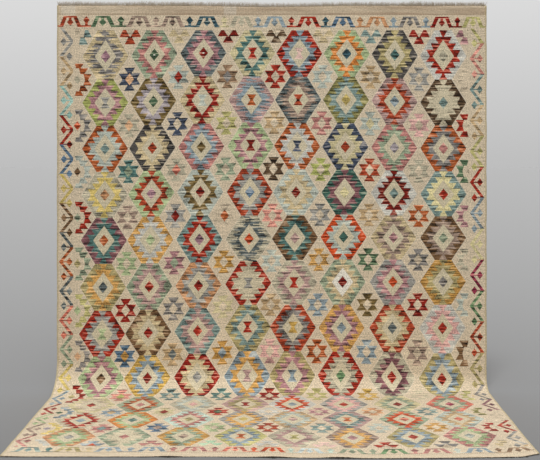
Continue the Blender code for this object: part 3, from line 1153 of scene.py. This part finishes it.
# %% [markdown]
# ## The vine borders
#
# Down each side a thin vine zigzags between two rows of turns. From each turn a short stem carries a
# diamond towards the other side. The yarn changes colour at each outer turn. Each colour comes from a
# colour ramp without blending, which works like a row of bobbins: the vine's count picks one.

# %% Bobbins
LEFT_YARNS = """grey tan aqua red denim yellow brown slate rust slate coral
                sage yellow steel crimson leaf taupe rose""".split()
RIGHT_YARNS = """pear salmon lichen tan pear red steel straw cherry green brick khaki
                 ash plum cream red grey tan""".split()


def pick_yarn(tree, number, yarns):
    """The yarn of a whole number, counted from 0."""
    ramp = add_node(tree, "ValToRGB", (number + 0.5) / len(yarns), output="Color")
    stops = ramp.socket.node.color_ramp
    stops.interpolation = "CONSTANT"
    while len(stops.elements) < len(yarns):
        stops.elements.new(1.0)
    for k, dye_name in enumerate(yarns):
        stops.elements[k].position = k / len(yarns)
        stops.elements[k].color = dye(dye_name)
    return ramp


print(len(LEFT_YARNS), "bobbins for the left vine and", len(RIGHT_YARNS), "for the right one")

# %% [markdown]
# ## Drawing the vine
#
# The vine's count runs on by one with each turn, so its line is a zigzag of the count's fraction. Stems and
# diamonds are measured from the nearest inner or outer turn. The two vines differ only in their numbers,
# so one set of nodes serves both sides.

# %% Side border wool
HALF_TURN_AT = 7.25  # here the left vine changes colour at an inner turn, and from then on always does
VINE_HALF_WIDTH = 0.0130
STEM_HALF = 0.0045
VINE_DIAMOND = (0.023, 0.030)
OUTER_DIAMOND_AT = 0.0215
INNER_DIAMOND_AT = 0.0625
DIAMOND_OVERLAP = 0.17  # share of a turn by which the last diamond of a colour hangs into the next one
FIRST_DIAMOND = (0.3, -0.35)  # count from which leaves grow, on the left and on the right
VINE_LEAD = 0.4  # how much earlier the vine itself starts, in turns

side_border, tree = start_wool("flatwoven_wool_side_borders")
u, _ = distances(tree, "Cloth")
x, count = distances(tree, "Border")
on_right = u > WIDTH / 2
turn_length = VINES[0][1] + on_right * (VINES[1][1] - VINES[0][1])
line = VINE_SPAN * (1.0 - abs((count - math.floor(count)) * 2.0 - 1.0))
vine = abs(x - line) < VINE_HALF_WIDTH
from_inner_turn = abs(count - math.floor(count) - 0.5) * turn_length
from_outer_turn = abs(count - round(count)) * turn_length
outer_stem = (from_inner_turn < STEM_HALF) & (x > OUTER_DIAMOND_AT) & (x < VINE_SPAN)
inner_stem = (from_outer_turn < STEM_HALF) & (x > 0.0) & (x < INNER_DIAMOND_AT)
outer_diamond = in_diamond(abs(x - OUTER_DIAMOND_AT), from_inner_turn, *VINE_DIAMOND)
inner_diamond = in_diamond(abs(x - INNER_DIAMOND_AT), from_outer_turn, *VINE_DIAMOND)
first = FIRST_DIAMOND[0] + on_right * (FIRST_DIAMOND[1] - FIRST_DIAMOND[0])
leaves = (outer_stem | inner_stem | outer_diamond | inner_diamond) & (count > first)
drawn = (vine & (count > first - VINE_LEAD)) | leaves
late = (count > HALF_TURN_AT) * (1.0 - on_right)
far_side = (x > VINE_SPAN / 2) * (1.0 - late) + (x < VINE_SPAN / 2) * late
number = math.floor(count + late * 0.5 - far_side * DIAMOND_OVERLAP)
left_yarn = pick_yarn(tree, number, LEFT_YARNS)
right_yarn = pick_yarn(tree, number + 1.0, RIGHT_YARNS)
colour = lay(yarn(tree, "cream"), lay(left_yarn, right_yarn, on_right), drawn)
finish_wool(side_border, colour, drawn, number * SEED_STEP)

# %% [markdown]
# ## The arch borders
#
# Across each end runs a row of arches joined by a thin base line. A diamond hangs inside each arch and
# another stands on the base line between two arches. The name before a slash is an arch's yarn, and the
# one after it belongs to the diamond that follows.

# %% End border wool
TOP_YARNS = """brick/brick moss/moss taupe/taupe taupe/petrol petrol/wheat flax/steel steel/red red/petrol
               denim/apricot apricot/steel ash/steel crimson/crimson pear/pear"""
FRONT_YARNS = """lichen/teal khaki/sand steel/steel steel/rose rose/rose coral/flame flame/foam ice/foam
                 sage/sage green/rose rose/haze steel/mocha mocha/brown"""
ARCH_PITCH = 0.234
ARCH_TOP_HALF = 0.048
ARCH_LEG_SPREAD = 0.44
ARCH_LEG_WIDTH = 0.029
ARCH_BAR = 0.013
ARCH_REACH = 0.36  # from an arch's middle to where its colour ends, in arches
BASE_LINE = (0.065, 0.077)
HANGING_DIAMOND = (0.043, 0.024, 0.027)  # height of its middle, half width, half height
STANDING_DIAMOND = (0.028, 0.024, 0.028)
ARCH_STEM = 0.010
ARCH_ROW_OVERHANG = 0.40  # how far the row goes on past the middles of its first and last arch, in arches

end_border, tree = start_wool("flatwoven_wool_end_borders")
u, v = distances(tree, "Cloth")
count, height = distances(tree, "Border")
number = math.floor(count + 0.5)
from_arch = abs(count - number)
x = from_arch * ARCH_PITCH
beside = ARCH_PITCH / 2 - x
y = stepped(height, STEP / 2)
outer_edge = ARCH_TOP_HALF + y * ARCH_LEG_SPREAD
leg = (x < outer_edge) & (x > outer_edge - ARCH_LEG_WIDTH) & (y > 0.0) & (y < BASE_LINE[1])
bar = (x < ARCH_TOP_HALF) & (y > 0.0) & (y < ARCH_BAR)
base = (x > outer_edge - ARCH_LEG_WIDTH) & (y > BASE_LINE[0]) & (y < BASE_LINE[1])
hanging = in_diamond(x, abs(y - HANGING_DIAMOND[0]), *HANGING_DIAMOND[1:])
hanging_stem = (x < ARCH_STEM) & (y > 0.0) & (y < HANGING_DIAMOND[0])
standing = in_diamond(beside, abs(y - STANDING_DIAMOND[0]), *STANDING_DIAMOND[1:])
standing_stem = (beside < ARCH_STEM) & (y > STANDING_DIAMOND[0]) & (y < BASE_LINE[1])
in_border = (count > -ARCH_ROW_OVERHANG) & (count < len(ARCHES_TOP) - 1 + ARCH_ROW_OVERHANG)
drawn = (leg | bar | base | hanging | hanging_stem | standing | standing_stem) & in_border
is_between = from_arch > ARCH_REACH
half_number = number * 2.0 * (1.0 - is_between) + (math.floor(count) * 2.0 + 1.0) * is_between
top_yarn = pick_yarn(tree, half_number, TOP_YARNS.replace("/", " ").split())
front_yarn = pick_yarn(tree, half_number, FRONT_YARNS.replace("/", " ").split())
colour = lay(yarn(tree, "cream"), lay(top_yarn, front_yarn, v > FRONT_HALF), drawn)
finish_wool(end_border, colour, drawn, half_number * SEED_STEP)

# %% [markdown]
# ## The end bands
#
# Both ends finish in a plain band, closed off by a row of twining: two dark yarns that cross between the
# warps, which shows as a thin dashed line. The top band has long darker streaks, which grow stronger towards
# the right, and two paler patches. Soft noise, stretched along the weft, gives such streaks.

# %% End band wool
TWINING = (0.0665, 3.806)
TWINING_HALF = 0.0032
TWINING_PITCH = 0.012
TWINING_SHARE = 0.75
DASH_SHARE = 0.6  # how much of each stitch of the twining shows
BAND_DYE = "mocha"
BAND_SHARE = 0.36
BAND_STRENGTH = 0.7
BAND_SEED = 0.2
BAND_STREAK = (0.5, 0.02)
STREAK_SEED = 0.5
BAND_DULL_OVER = (0.10, 0.60)  # u over which the band gets duller towards the right
BAND_DULL = (0.3, 1.0)  # how dull it is before that and after it
PALE_PATCHES = ((0.03, 0.13), (1.165, 1.253))
PATCH_SHARE = 0.30

band, tree = start_wool("flatwoven_wool_end_bands")
u, v = distances(tree, "Cloth")
_, chart_place = distances(tree, "Border")
at_top = v < FRONT_HALF
dull = add_node(tree, "MapRange", u, *BAND_DULL_OVER, *BAND_DULL)
streaks = unevenness(tree, u, v, BAND_STREAK, STREAK_SEED) * dull * at_top
colour = lay(yarn(tree, "cream"), yarn(tree, BAND_DYE), streaks * (BAND_SHARE * 2))
for start, end in PALE_PATCHES:
    colour = lay(colour, yarn(tree, "ivory"), (u > start) & (u < end) & at_top & PATCH_SHARE)
dash = u / TWINING_PITCH - math.floor(u / TWINING_PITCH) < DASH_SHARE
top_line, front_line = [abs(chart_place - place) < TWINING_HALF for place in TWINING]
colour = lay(colour, yarn(tree, "brown"), (top_line | front_line) * dash * TWINING_SHARE)
finish_wool(band, colour, 0.0, BAND_SEED, BAND_STRENGTH)
rug_mesh.polygons.foreach_set("material_index", zone.astype(np.int32))
rug_mesh.update()

# %% [markdown]
# ## The fringes
#
# A rug's fringe is what is left of its warp: hundreds of thin ends in a row, frayed and bent by handling.
# The packed model holds them as a comb of coarse locks. Hair particles could make them, but wouldn't be
# plain mesh. So each end is its own tapering strand, three sided, because that is enough for a thread a
# millimetre thick. First come their middle lines: the upper ones stand up and lean at random, and the
# lower ones lie on the floor.

# %% Middle lines of the warp ends
STRAND_RINGS = 4
LEAN_LIMIT = 1.8  # times the usual lean, which is as far as any end bends
FORWARD_BEND = 0.1  # how much a leaning end also bends away from the wall
CLUMP_COLUMNS = ("u", "half_width", "longer")
ACROSS = np.array([1.0, 0.0, 0.0])
FORWARD = np.array([0.0, -1.0, 0.0])
UP = np.array([0.0, 0.0, 1.0])


def warp_lines(fringe, draws):
    """The points of each end's middle line, its thickness, and how far along the line each point is."""
    count = fringe["count"]
    lean = fringe["lean"]
    starts = np.sort(draws.uniform(*fringe["reach"], count))
    base = fringe["roots"](starts)
    long = draws.uniform(*fringe["lengths"], count)
    for row in rows_of(CLUMP_COLUMNS, fringe["clumps"]):
        long *= 1 + row["longer"] * bump((starts - row["u"]) / row["half_width"])
    thick = draws.uniform(*fringe["radii"], count)[:, None]
    sway = draws.normal(0.0, lean, count).clip(-LEAN_LIMIT * lean, LEAN_LIMIT * lean)
    depth = draws.uniform(-1.0, 1.0, count)
    curl = draws.normal(0.0, lean / 2, count)
    share = np.linspace(0.0, 1.0, STRAND_RINGS)[None, :]
    along = long[:, None] * share
    sideways = long[:, None] * (sway[:, None] * share + curl[:, None] * share**2)
    lines = base[:, None, :] + fringe["outward"] * along[..., None]
    lines[..., 0] += sideways
    if fringe["lies_down"]:
        lines[..., 2] = base[:, None, 2] * (1 - share) + thick
    else:
        lines[..., 1] += depth[:, None] * thick - np.abs(sideways) * FORWARD_BEND
    return lines, thick, share


print("each end has", STRAND_RINGS, "rings of points")

# %% [markdown]
# ## From lines to threads
#
# Around each point of a line goes a ring of three points, smaller towards the tip. Faces join ring to ring,
# and both ends are closed. All strands share one pattern of faces, which is only shifted from strand to
# strand, so thousands of them take no time. Each point also carries how near the tip it is, and a chance
# number for its strand's shade.

# %% Thread maker
STRAND_SIDES = 3
TIP_TAPER = 0.75  # share of its thickness that an end loses towards its tip
TAPER_POWER = 1.5  # it loses more of it near the tip


def strand_faces(count):
    """The quads and caps of all strands."""
    pattern = []
    for near in range(0, (STRAND_RINGS - 1) * STRAND_SIDES, STRAND_SIDES):
        for side in range(STRAND_SIDES):
            after = (side + 1) % STRAND_SIDES
            corners = (side, after, after + STRAND_SIDES, side + STRAND_SIDES)
            pattern.append([near + corner for corner in corners])
    per_strand = STRAND_RINGS * STRAND_SIDES
    first_points = np.arange(count) * per_strand
    quads = (first_points[:, None, None] + np.array(pattern)).reshape(-1, 4)
    root_caps = first_points[:, None] + np.arange(STRAND_SIDES)[::-1]
    tip_caps = first_points[:, None] + per_strand - STRAND_SIDES + np.arange(STRAND_SIDES)
    return quads.tolist() + root_caps.tolist() + tip_caps.tolist()


def add_fringe(name, material, fringe, draws):
    """One mesh with all the warp ends of one fringe."""
    lines, thick, share = warp_lines(fringe, draws)
    ring = np.linspace(0, 2 * math.pi, STRAND_SIDES, endpoint=False)[None, None, :, None]
    radius = (thick * (1 - TIP_TAPER * share**TAPER_POWER))[..., None, None]
    second = UP if fringe["lies_down"] else -FORWARD
    points = lines[:, :, None, :] + radius * (np.cos(ring) * ACROSS + np.sin(ring) * second)
    count = fringe["count"]
    mesh = bpy.data.meshes.new(name)
    mesh.from_pydata(points.reshape(-1, 3).tolist(), [], strand_faces(count))
    tip = np.tile(np.repeat(share, STRAND_SIDES), count)
    chance = np.repeat(draws.uniform(0.0, 1.0, count), STRAND_RINGS * STRAND_SIDES)
    for attribute_name, values in (("tip", tip), ("strand", chance)):
        attribute = mesh.attributes.new(attribute_name, "FLOAT", "POINT")
        attribute.data.foreach_set("value", values.astype(np.float32))
    mesh.shade_smooth()
    mesh.materials.append(material)
    made = bpy.data.objects.new(name, mesh)
    bpy.context.scene.collection.objects.link(made)
    print(name, "has", count, "strands and", len(mesh.polygons), "faces")
    return made


print("a strand has", len(strand_faces(1)), "faces")

# %% [markdown]
# ## Warp yarn
#
# The warp is undyed wool, spun by hand and never washed as often as the rest. Its tips fray. At the top each
# end is drawn darker at its root, which is painted shade where the ends crowd against the cloth. On the floor
# the ends are dark: partly matted dark wool, partly painted shadow of the gap under the cloth's front edge.
# Each end mixes a root and a tip colour along its length, and leans towards a third one by chance.

# %% Warp wool
WARP_FUZZ_SCALE = 220.0  # noise patches in a metre, about 5 mm each
WARP_FUZZ_DETAIL = (2.0, 0.6)
WARP_TONE = (0.65, 0.7)  # darkest tone, and how much the fuzz adds to it


def warp_wool(name, root_colour, tip_colour, other_colour):
    """Undyed handspun warp, from three colours in sRGB hex."""
    material = bpy.data.materials.new(name)
    material.use_nodes = True
    tree = material.node_tree
    tip = carried(tree, "tip")
    strand = carried(tree, "strand")
    root = add_node(tree, "Mix", tip, linear(root_colour), linear(tip_colour), data_type="RGBA")
    shade = add_node(tree, "Mix", strand, root, linear(other_colour), data_type="RGBA")
    place = add_node(tree, "TexCoord", output="Object")
    fuzz = add_node(tree, "TexNoise", place, WARP_FUZZ_SCALE, *WARP_FUZZ_DETAIL, output="Fac")
    tone = fuzz * WARP_TONE[1] + WARP_TONE[0]
    colour = add_node(tree, "VectorMath", shade, tone, operation="SCALE")
    shader = tree.nodes["Principled BSDF"]
    shader.inputs["Roughness"].default_value = WOOL_ROUGHNESS
    shader.inputs["IOR"].default_value = WOOL_IOR
    shader.inputs["Specular IOR Level"].default_value = WOOL_SPECULAR
    tree.links.new(colour.socket, shader.inputs["Base Color"])
    return material


# top fringe: the darker roots are painted shade next to the cloth
top_warp_painted_root_shade = warp_wool("handspun_warp_top_painted_root_shade", "aa9a84", "c0b4a2", "b0a28d")
# front fringe: dark matted wool, its near black partly painted shadow under the cloth's front edge
front_warp_painted_shadow = warp_wool("handspun_warp_front_painted_shadow", "5a5044", "5a5044", "2b2621")
print("made", top_warp_painted_root_shade.name, "and", front_warp_painted_shadow.name)

# %% [markdown]
# ## Both fringes
#
# The two fringes differ in their numbers only. The upper one is long and even. The front one is worn short,
# with a few longer clumps where it was walked on less, and it is matted and dark; its near black is partly
# painted shadow of the gap under the cloth's front edge. Each starts from the end of the cloth, which the
# drape gives.

# %% Both fringes
FRINGE_SEED = 7
TOP_ROOT_DEPTH = 0.8  # how far in front of the cloth's back face the roots lie, in thicknesses
TOP_ROOT_BELOW = 0.004
FRONT_ROOT_INSIDE = 0.001
FRONT_ROOT_HEIGHT = THICKNESS / 3
TOP_CLUMPS = ((0.14, 0.05, 0.2), (0.62, 0.10, 0.15), (1.30, 0.20, 0.15), (2.52, 0.12, 0.2))
FRONT_CLUMPS = (
    (0.94, 0.05, 0.9),
    (1.52, 0.035, 0.8),
    (1.89, 0.045, 0.6),
    (2.45, 0.55, 0.5),
    (1.15, 0.18, -0.6),
)


def top_roots(u):
    x = u - WIDTH / 2
    return drape(x, top_drop(x)) + THICKNESS * TOP_ROOT_DEPTH * FORWARD - TOP_ROOT_BELOW * UP


def front_roots(u):
    place = drape(u - WIDTH / 2, np.full_like(u, PATTERN_LENGTH))
    return place - FRONT_ROOT_INSIDE * FORWARD + FRONT_ROOT_HEIGHT * UP


TOP_FRINGE = {
    "roots": top_roots, "reach": (0.008, 2.988), "outward": UP, "lies_down": False, "count": 5200,
    "lengths": (0.012, 0.034), "radii": (0.0006, 0.0014), "lean": 0.35, "clumps": TOP_CLUMPS,
}
FRONT_FRINGE = {
    "roots": front_roots, "reach": (0.012, 2.930), "outward": FORWARD, "lies_down": True, "count": 2100,
    "lengths": (0.003, 0.011), "radii": (0.0006, 0.0015), "lean": 0.5, "clumps": FRONT_CLUMPS,
}
draws = np.random.default_rng(FRINGE_SEED)
top_fringe = add_fringe("warp_ends_top", top_warp_painted_root_shade, TOP_FRINGE, draws)
front_fringe = add_fringe("warp_ends_front", front_warp_painted_shadow, FRONT_FRINGE, draws)

# %% [markdown]
# ## The floor
#
# A matt painted floor stands in for the studio's. It gets darker towards the camera, as the lamps stand
# further back. That falloff of light is painted shade here: a gradient in the paint's own grey, which costs
# nothing, and it stays a simple grey in other views.

# %% Floor
FLOOR_SIZE = 80.0
FLOOR_BELOW = 0.0005  # keeps the floor just under what lies on it
FLOOR_ROUGHNESS = 0.9
FLOOR_FAR = 0.44  # the paint's grey far behind the rug, where the painted shade has faded out
FLOOR_FADE = 1.18  # painted shade of the lamps' falloff: how much darker the paint is one metre from the start of the fade, and then ever less so
FADE_START = 5.4  # metres in front of the middle of the floor
FADE_NEAREST = 4.7  # metres from that start within which the paint stays the same

half = FLOOR_SIZE / 2
floor_corners = [(-half, -half, 0), (half, -half, 0), (half, half, 0), (-half, half, 0)]
floor_mesh = bpy.data.meshes.new("studio_floor")
floor_mesh.from_pydata(floor_corners, [], [(0, 1, 2, 3)])
floor = bpy.data.objects.new("studio_floor", floor_mesh)
floor.location.z = -FLOOR_BELOW
bpy.context.scene.collection.objects.link(floor)
floor_paint = bpy.data.materials.new("matt_studio_paint")
floor_paint.use_nodes = True
tree = floor_paint.node_tree
floor_place = add_node(tree, "TexCoord", output="Object")
# painted shade: the grey darkens towards the camera, in place of the lamps' falloff
distance = (add_node(tree, "SeparateXYZ", floor_place, output="Y") + FADE_START) | FADE_NEAREST
shade = FLOOR_FAR - add_node(tree, "Math", FLOOR_FADE, distance, operation="DIVIDE")
paint = add_node(tree, "CombineXYZ", shade, shade, shade)
floor_shader = tree.nodes["Principled BSDF"]
floor_shader.inputs["Roughness"].default_value = FLOOR_ROUGHNESS
tree.links.new(paint.socket, floor_shader.inputs["Base Color"])
floor_mesh.materials.append(floor_paint)
floor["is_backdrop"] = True
print("the floor is", FLOOR_SIZE, "m square")

# %% [markdown]
# ## Light
#
# A pale world lights from all around: the lying tail sees all of it, the hung part only half, so the tail
# is the lighter one, as in the picture. A soft key light from high in front, a little to the left, gives
# the folds their shade. A broad weak lamp in front of the rug, above the picture, fills the hung part.

# %% Lights
SUN_STRENGTH = 1.50
SUN_ELEVATION = 70.5
SUN_FROM_LEFT = 12.0
SUN_SOFTNESS = 14.0
FILL_POWER = 34.0
FILL_SIZE = (3.0, 0.6)
FILL_PLACE = (0.0, 4.0, 2.8)  # across, in front of the wall plane, and up


def add_light(name, kind, strength, turned):
    light = bpy.data.lights.new(name, kind)
    light.energy = strength
    lamp = bpy.data.objects.new(name, light)
    lamp.rotation_euler = [math.radians(angle) for angle in turned]
    bpy.context.scene.collection.objects.link(lamp)
    return light, lamp


key, _ = add_light("soft_key", "SUN", SUN_STRENGTH, (90 - SUN_ELEVATION, 0, -SUN_FROM_LEFT))
key.angle = math.radians(SUN_SOFTNESS)
fill, fill_lamp = add_light("front_fill", "AREA", FILL_POWER, (90, 0, 0))
fill.shape = "RECTANGLE"
fill.size, fill.size_y = FILL_SIZE
fill_lamp.location = (FILL_PLACE[0], wall_y - FILL_PLACE[1], FILL_PLACE[2])
print("the key light stands", SUN_ELEVATION, "degrees high")

# %% [markdown]
# ## The world
#
# The wall behind the rug isn't built, because the world can stand in for it: a Background node whose grey
# rises from the horizon upwards. Its ramp starts a little below the horizon, where the far edge of the
# floor ends, so no line shows between them.

# %% World
HORIZON_COLOUR = "bebebe"
SKY_COLOUR = "dbdbdb"
SKY_FROM = -0.035  # sine of the angle above the horizon where the sky starts to lighten
SKY_TO = 0.15  # the same for where it reaches its own colour

world = bpy.data.worlds.new("pale_studio")
world.use_nodes = True
tree = world.node_tree
direction = add_node(tree, "TexCoord", output="Generated")
height = add_node(tree, "SeparateXYZ", direction, output="Z")
sky_share = add_node(tree, "MapRange", height, SKY_FROM, SKY_TO, 0.0, 1.0)
sky = add_node(tree, "Mix", sky_share, linear(HORIZON_COLOUR), linear(SKY_COLOUR), data_type="RGBA")
tree.links.new(sky.socket, tree.nodes["Background"].inputs["Color"])
bpy.context.scene.world = world
bpy.context.scene.view_settings.view_transform = "Standard"
print("the sky goes from", HORIZON_COLOUR, "to", SKY_COLOUR)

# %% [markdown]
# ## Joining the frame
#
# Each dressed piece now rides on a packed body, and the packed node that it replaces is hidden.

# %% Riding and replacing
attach(rug, "root")
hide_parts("rug")
for fringe, node, slot_name in (
    (top_fringe, "fringe_top", "warp_fringe_top"),
    (front_fringe, "fringe_bottom", "warp_fringe_bottom"),
):
    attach(fringe, "root")
    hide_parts(node)
print("declared", rug.name, top_fringe.name, front_fringe.name)

# %% [markdown]
# ## Sizes, and the end
#
# Last, the size of the packed solids and of the dressed part are set side by side, and the dressed part's
# size is printed.

# %% Sizes and finish
def plain(box):
    return [[round(float(value), 5) for value in corner] for corner in box]


{"cad": plain(cad_box), "visual": plain(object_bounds())}
print("the dressed part reaches from", *plain(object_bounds()))
